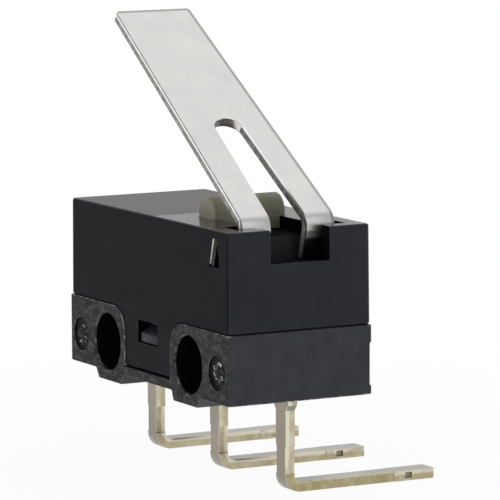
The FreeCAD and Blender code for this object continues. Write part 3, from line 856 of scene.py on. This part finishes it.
@dataclass
class Housing:
    """The two mouldings that clip together."""

    bore_x: float = 3.25
    bore_radius: float = 1.07
    bore_rim: float = 0.1
    half_width: float = 2.95
    shell: float = 0.3
    wall_x: float = 6.2
    foot_top: float = -1.12
    seat_top: float = -0.7
    seat_x: float = 2.1
    mark_x: float = MARK_X
    mark_radius: float = 0.66
    mark_depth: float = 0.13
    hook_x: float = 0.7
    hook_y: float = 2.4
    rim_y: float = 2.8
    hook_low: float = 0.31
    cover_top: float = 5.06
    window_x: float = 0.85
    window_top: float = 1.3
    skirt_top: float = 1.4
    seam_x: float = 1.95
    seam: tuple[float, float] = (1.35, 1.7)
    cover_edge: EdgeBreak = EdgeBreak(0.03)
    base_edge: EdgeBreak = EdgeBreak(0.04, clamp=False)
    facing: float = 0.9
    within: float = 0.02

    def cover_paint(self, centre: Vector, normal: Vector) -> Finish | None:
        """Choose the finish of one face of the cover.

        Args:
            centre: The face's centre.
            normal: The face's normal.

        Returns:
            The finish, or None to leave it.
        """
        x, y, z = abs(centre.x) / MM, abs(centre.y) / MM, centre.z / MM
        inner = self.half_width - self.shell
        if y > inner and x < self.window_x and z < self.window_top:
            if abs(normal.y) > self.facing:
                return COVER_SKIRT
            # The window's walls: painted highlight at the outer rim, painted shade deeper in
            return COVER_WINDOW_HIGHLIGHT if y > self.rim_y else COVER_SHADE
        # Inside the notch and pocket: painted shade, except on faces turned to +X
        if y < inner and x < self.wall_x and z < self.cover_top:
            return COVER_SIDE if normal.x > self.facing else COVER_SHADE
        if normal.z > self.facing:
            return COVER_TOP
        if y > inner and x < self.seam_x and self.seam[0] < z < self.seam[1]:
            return COVER_SKIRT
        if abs(normal.y) > self.facing:
            # Inner faces: painted shade
            if y < inner:
                return COVER_SHADE
            return COVER_SKIRT if z < self.skirt_top else COVER_LONG_SIDE
        return None

    def base_paint(self, centre: Vector, normal: Vector) -> Finish | None:
        """Choose the finish of one face of the base.

        Args:
            centre: The face's centre.
            normal: The face's normal.

        Returns:
            The finish, or None to leave it.
        """
        x, y, z = abs(centre.x) / MM, abs(centre.y) / MM, centre.z / MM
        across = math.hypot(x - self.bore_x, z)
        # Bore walls: painted shade
        if abs(normal.y) < self.within and across < self.bore_radius + self.within:
            return BASE_SHADE
        if abs(normal.y) < self.facing and across < self.bore_radius + self.bore_rim:
            return BORE_RIM
        if y > self.hook_y and x < self.hook_x and z > self.hook_low:
            return CLIP_HOOK
        aside = math.hypot(x - self.mark_x, z)
        sunk = self.half_width - y
        # The round marks' recesses: painted shade
        if aside < self.mark_radius and self.within < sunk < self.mark_depth:
            return BASE_RECESS_SHADE
        # The rail's top under the skirt: painted shadow
        if x < self.seat_x and self.foot_top < z < self.seat_top and normal.z > self.within:
            return BASE_SHADE
        # The feet's slopes: painted light
        if z < self.foot_top and abs(normal.x) > self.within:
            return BASE_FOOT_LIT
        if z > self.window_top and abs(normal.x) > self.within and x > self.wall_x:
            return BASE_FACE if abs(normal.y) < self.within else None
        return BASE_SIDE if abs(normal.y) > self.facing else None

    def build(self) -> None:
        """Build and dress the cover and the base."""
        DressedNode("cover", Body.HOUSING, Slot.COVER, self.cover_edge,
                    materials_of(COVER_SIDE, COVER_EDGE, COVER_TOP, COVER_LONG_SIDE, COVER_SHADE,
                                 COVER_WINDOW_HIGHLIGHT, COVER_SKIRT), self.cover_paint).build()
        DressedNode("base", Body.HOUSING, Slot.BASE, self.base_edge,
                    materials_of(BASE_FACE, BASE_EDGE, BASE_SIDE, BASE_SHADE, BASE_FOOT_LIT, CLIP_HOOK,
                                 BASE_RECESS_SHADE, BORE_RIM), self.base_paint).build()


class GrowTree(TreeBuilder):
    """One geometry node tree with named inputs."""

    kinds: Mapping[type, str] = {float: "NodeSocketFloat", int: "NodeSocketInt",
                                 bpy.types.Material: "NodeSocketMaterial"}

    def __init__(self, name: str) -> None:
        """Start an empty tree that gives a geometry.

        Args:
            name: The tree's name.
        """
        super().__init__(bpy.data.node_groups.new(name, "GeometryNodeTree"))
        self.tree.interface.new_socket("Geometry", in_out="OUTPUT", socket_type="NodeSocketGeometry")
        self.inlet = self.node("NodeGroupInput")
        self.outlet = self.node("NodeGroupOutput")
        self.given: dict[str, float | int | bpy.types.Material] = {}

    def entry(self, name: str, value: float | int | bpy.types.Material) -> bpy.types.NodeSocket:
        """Add a named input to the tree.

        Args:
            name: The input's name.
            value: What a modifier gives it, whose type sets the input's kind.

        Returns:
            The input's socket inside the tree.
        """
        socket = self.tree.interface.new_socket(name, in_out="INPUT", socket_type=self.kinds[type(value)])
        if isinstance(value, (int, float)):
            socket.default_value = value
        self.given[socket.identifier] = value
        return self.inlet.outputs[name]

    def vector(self, x: Fed = 0.0, y: Fed = 0.0, z: Fed = 0.0) -> bpy.types.NodeSocket:
        """Join three numbers to a vector.

        Args:
            x: The first number.
            y: The second number.
            z: The third number.

        Returns:
            The vector.
        """
        return self.node("ShaderNodeCombineXYZ", {"X": x, "Y": y, "Z": z}).outputs["Vector"]

    def random_vector(self, low: Sequence[float], high: Sequence[float],
                      seed: bpy.types.NodeSocket) -> bpy.types.NodeSocket:
        """Give a vector that differs from point to point.

        Args:
            low: The least it can be.
            high: The most it can be.
            seed: The seed's socket.

        Returns:
            The vector.
        """
        made = self.node("FunctionNodeRandomValue", {0: low, 1: high, "Seed": seed},
                         data_type="FLOAT_VECTOR")
        return made.outputs[0]


@dataclass
class TornGates:
    """The crumbs that broken-off gates leave in the base's two round marks."""

    mark_x: float = MARK_X
    face_y: float = -2.83
    spread_radius: float = 0.36
    crumb_radius: float = 0.075
    crumbs: int = 60
    seed: int = 11
    most_turned: float = 3.1
    least_scale: tuple[float, float, float] = (0.4, 0.3, 0.3)
    most_scale: tuple[float, float, float] = (1.5, 0.8, 0.7)
    second_turned: float = 2.2
    tear_per_mm: float = 9.0
    tear_share: float = 1.2

    def tree(self) -> GrowTree:
        """Build the node tree that scatters the crumbs in both marks.

        Returns:
            The tree, with a named input for each size.
        """
        grow = GrowTree("torn_gates")
        reach = grow.entry("Mark place", self.mark_x * MM)
        radius = grow.entry("Spread radius", self.spread_radius * MM)
        size = grow.entry("Crumb radius", self.crumb_radius * MM)
        count = grow.entry("Crumbs per mark", float(self.crumbs))
        seed = grow.entry("Seed", self.seed)
        finish = grow.entry("Finish", TORN_GATE.material())

        disc = grow.node("GeometryNodeMeshCircle", {"Radius": radius}, fill_type="NGON")
        area = grow.join("MULTIPLY", grow.join("MULTIPLY", radius, radius), math.pi)
        scatter = grow.node("GeometryNodeDistributePointsOnFaces",
                            {"Mesh": disc.outputs["Mesh"], "Seed": seed,
                             "Density": grow.join("DIVIDE", count, area)})
        crumb = grow.node("GeometryNodeMeshIcoSphere", {"Radius": size, "Subdivisions": 2})
        turned = grow.random_vector((0, 0, 0), (self.most_turned,) * 3, seed)
        crumbs = grow.node("GeometryNodeInstanceOnPoints",
                           {"Points": scatter.outputs["Points"], "Instance": crumb.outputs["Mesh"],
                            "Rotation": turned,
                            "Scale": grow.random_vector(self.least_scale, self.most_scale, seed)})

        ends = grow.node("GeometryNodeMeshLine",
                         {"Count": 2, "Offset": grow.vector(reach),
                          "Start Location": grow.vector(grow.join("MULTIPLY", reach, -1.0))},
                         mode="END_POINTS")
        which = grow.node("GeometryNodeInputIndex").outputs["Index"]
        marks = grow.node("GeometryNodeInstanceOnPoints",
                          {"Points": ends.outputs["Mesh"], "Instance": crumbs.outputs["Instances"],
                           "Rotation": grow.vector(z=grow.join("MULTIPLY", which, self.second_turned))})
        stand = grow.node("GeometryNodeTransform",
                          {"Geometry": marks.outputs["Instances"],
                           "Rotation": (math.pi / 2, 0.0, 0.0),
                           "Translation": (0.0, self.face_y * MM, 0.0)})
        whole = grow.node("GeometryNodeRealizeInstances", {"Geometry": stand.outputs["Geometry"]})

        rough = grow.node("ShaderNodeTexNoise", {"Scale": self.tear_per_mm / MM})
        lift = grow.node("ShaderNodeVectorMath", {0: rough.outputs["Color"], 1: (0.5, 0.5, 0.5)},
                         operation="SUBTRACT")
        step = grow.node("ShaderNodeVectorMath",
                         {0: lift.outputs["Vector"],
                          "Scale": grow.join("MULTIPLY", size, self.tear_share)},
                         operation="SCALE")
        torn = grow.node("GeometryNodeSetPosition",
                         {"Geometry": whole.outputs["Geometry"], "Offset": step.outputs["Vector"]})
        dressed = grow.node("GeometryNodeSetMaterial",
                            {"Geometry": torn.outputs["Geometry"], "Material": finish})
        grow.feed(grow.outlet.inputs["Geometry"], dressed.outputs["Geometry"])
        return grow

    def build(self) -> None:
        """Grow the crumbs, bake them to a mesh and let them ride on the housing."""
        start = put("torn_gates_start", bpy.data.meshes.new("torn_gates_start"))
        grow = self.tree()
        grown = start.modifiers.new("torn_gates", "NODES")
        grown.node_group = grow.tree
        for identifier, value in grow.given.items():
            grown[identifier] = value
        piece = bake(start, "torn_gates")
        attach(piece, Body.HOUSING.value)
        LOG.info("torn_gates: %d faces", len(piece.data.polygons))


@dataclass
class Plunger:
    """The bar that the lever presses."""

    edge: EdgeBreak = EdgeBreak(0.03)

    def build(self) -> None:
        """Build and dress the plunger."""
        DressedNode("plunger", Body.PLUNGER, Slot.PLUNGER, self.edge,
                    materials_of(PLUNGER_FACE, PLUNGER_EDGE_HIGHLIGHT)).build()


@dataclass
class Lever:
    """The folded hinge lever, whose strip is sheared from sheet and bent once."""

    thickness: float = 0.36
    angle_deg: float = LEVER_ANGLE_DEG
    tail_lean_deg: float = 17.0
    bend_radius: float = 0.3
    pivot: tuple[float, float] = (5.22, 4.64)
    neck: float = 0.248
    cut_turn: float = 0.3
    side_turn: float = 0.95
    ear_from: float = 2.0
    # Broad faces below this height get painted shade
    shaded_below: float = 4.5
    slot_half_width: float = 0.8
    slot_end_x: float = 0.3
    # Where a patch at the slot's end gets a painted highlight
    slot_end_highlight_y: tuple[float, float] = (0.08, 0.56)
    edge: EdgeBreak = EdgeBreak(0.08)

    def through(self, point: Vector) -> tuple[Vector, float]:
        """Find the strip's thickness at a point.

        Args:
            point: A point on the lever, in metres.

        Returns:
            The direction through the strip, and how deep the point is, from 0 to 1.
        """
        tail = math.radians(90 - self.tail_lean_deg)
        blade = math.radians(180 - self.angle_deg)
        up = Vector((math.cos(tail), math.sin(tail)))
        out = Vector((math.cos(blade), math.sin(blade)))
        middle = self.bend_radius + self.thickness / 2
        back = middle * math.tan((blade - tail) / 2)
        start = Vector(self.pivot) + up * self.neck
        root = start + up * back + out * back
        flat = Vector((point.x, point.z)) / MM
        centre = start + Vector((-up.y, up.x)) * middle
        if (flat - root).dot(out) > 0:
            outward = Vector((out.y, -out.x))
            depth = (root - flat).dot(outward)
        elif (flat - start).dot(up) < 0:
            outward = Vector((up.y, -up.x))
            depth = (start - flat).dot(outward)
        else:
            outward = (flat - centre).normalized()
            depth = middle - (flat - centre).length
        return Vector((outward.x, 0, outward.y)), depth / self.thickness + 0.5

    def paint(self, centre: Vector, normal: Vector) -> Finish | None:
        """Choose the finish of one face of the lever.

        Args:
            centre: The face's centre.
            normal: The face's normal.

        Returns:
            The finish, or None to leave it.
        """
        if abs(normal.dot(self.through(centre)[0])) > self.cut_turn:
            # Broad faces low down: painted shade
            return LEVER_SHADE if centre.z / MM < self.shaded_below else None
        x, y = centre.x / MM, centre.y / MM
        if abs(y) < self.slot_half_width and x > self.slot_end_x:
            if normal.y < -self.side_turn:
                return SLOT_SIDE
            # A patch at the slot's end turned to +X: painted highlight
            highlighted = self.slot_end_highlight_y[0] < y < self.slot_end_highlight_y[1]
            return LEVER_ROUND if normal.x > self.cut_turn and highlighted else SLOT_CUT
        # The ears' cut edges: painted shade
        return EAR_CUT if abs(y) > self.ear_from else LEVER_CUT

    def build(self) -> None:
        """Build the lever, with its cut edges apart from its rolled faces."""
        DressedNode("lever", Body.LEVER, Slot.LEVER, self.edge,
                    materials_of(LEVER_FACE, LEVER_ROUND, LEVER_CUT, EAR_CUT, LEVER_SHADE,
                                 SLOT_CUT, SLOT_SIDE),
                    self.paint, lambda point: self.through(point)[1]).build()


@dataclass
class Terminals:
    """The three bent solder terminals."""

    nodes: tuple[str, ...] = ("common_terminal", "normally_open_terminal", "normally_closed_terminal")
    thickness: float = 0.38
    front: float = -0.14
    low: float = -4.6
    bend_radius: float = 0.22
    pitch: float = 5.08
    pit_y: tuple[float, float] = (4.8, 5.13)
    pit_x: tuple[float, float] = (0.3, 0.4)
    neck_top: float = -2.94
    neck_bottom: float = -3.94
    run_end_y: float = 4.0
    facing: float = 0.8
    edge: EdgeBreak = EdgeBreak(0.03)

    def through(self, point: Vector) -> float:
        """Find how deep in its strip a point of a terminal lies.

        Args:
            point: A point on the terminal, in metres.

        Returns:
            The depth, 0 on the outer face of the bend and 1 on its inner face.
        """
        outer = self.bend_radius + self.thickness
        across = max(self.front + outer - point.y / MM, 0.0)
        down = max(self.low + outer - point.z / MM, 0.0)
        return (outer - math.hypot(across, down)) / self.thickness

    def paint(self, centre: Vector, normal: Vector) -> Finish | None:
        """Choose the finish of one face of a terminal.

        Args:
            centre: The face's centre.
            normal: The face's normal.

        Returns:
            The finish, or None to leave it.
        """
        x, y = centre.x / MM, centre.y / MM
        sideways = x - round(x / self.pitch) * self.pitch
        if self.pit_y[0] < y < self.pit_y[1] and self.pit_x[0] < sideways < self.pit_x[1]:
            return TIN_PIT if x > -self.pitch / 2 else TIN_TURNED
        if abs(normal.x) > self.facing:
            return self.cut_paint(centre)
        # Top faces: the lighter tin, painted light
        return TIN_TOP if normal.z > self.facing else None

    def cut_paint(self, centre: Vector) -> Finish:
        """Choose the finish of one of a terminal's cut faces.

        Args:
            centre: The face's centre.

        Returns:
            The finish.
        """
        height = centre.z / MM
        if height > self.neck_top:
            return TIN_CUT
        if centre.x / MM < self.pitch / 2 or centre.y / MM > self.run_end_y:
            return TIN_TURNED
        return TIN_CUT if height > self.neck_bottom else TIN_DULL

    def build(self) -> None:
        """Build and dress the three terminals."""
        materials = materials_of(TIN_FACE, TIN_ROUND, TIN_CUT, TIN_TOP, TIN_PIT, TIN_TURNED, TIN_DULL)
        for name in self.nodes:
            DressedNode(name, Body.HOUSING, Slot.TERMINAL, self.edge, materials,
                        self.paint, self.through).build()


@dataclass
class ContactSet:
    """The snap blade and the contact buttons, hidden inside the housing."""

    spring: str = "snap_spring"
    buttons: tuple[str, ...] = ("moving_contact", "normally_open_contact", "normally_closed_contact")

    def build(self) -> None:
        """Dress the hidden nodes where they are."""
        dressed = {self.spring: SPRING_FACE.material()}
        dressed.update(dict.fromkeys(self.buttons, CONTACT_FACE.material()))
        for name, material in dressed.items():
            mesh = NODES[name].data
            mesh.materials.clear()
            mesh.materials.append(material)
            LOG.info("%s: dressed as %s", name, material.name)


def main() -> None:
    """Build every sub-assembly, then the studio, and note the sizes."""
    logging.basicConfig(level=logging.INFO, format="%(name)s %(message)s")
    bpy.context.scene.view_settings.view_transform = "Standard"
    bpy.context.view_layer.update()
    for assembly in (Housing(), TornGates(), Plunger(), Lever(), Terminals(), ContactSet()):
        assembly.build()
    Studio().build()


if __name__ == "__main__":
    main()
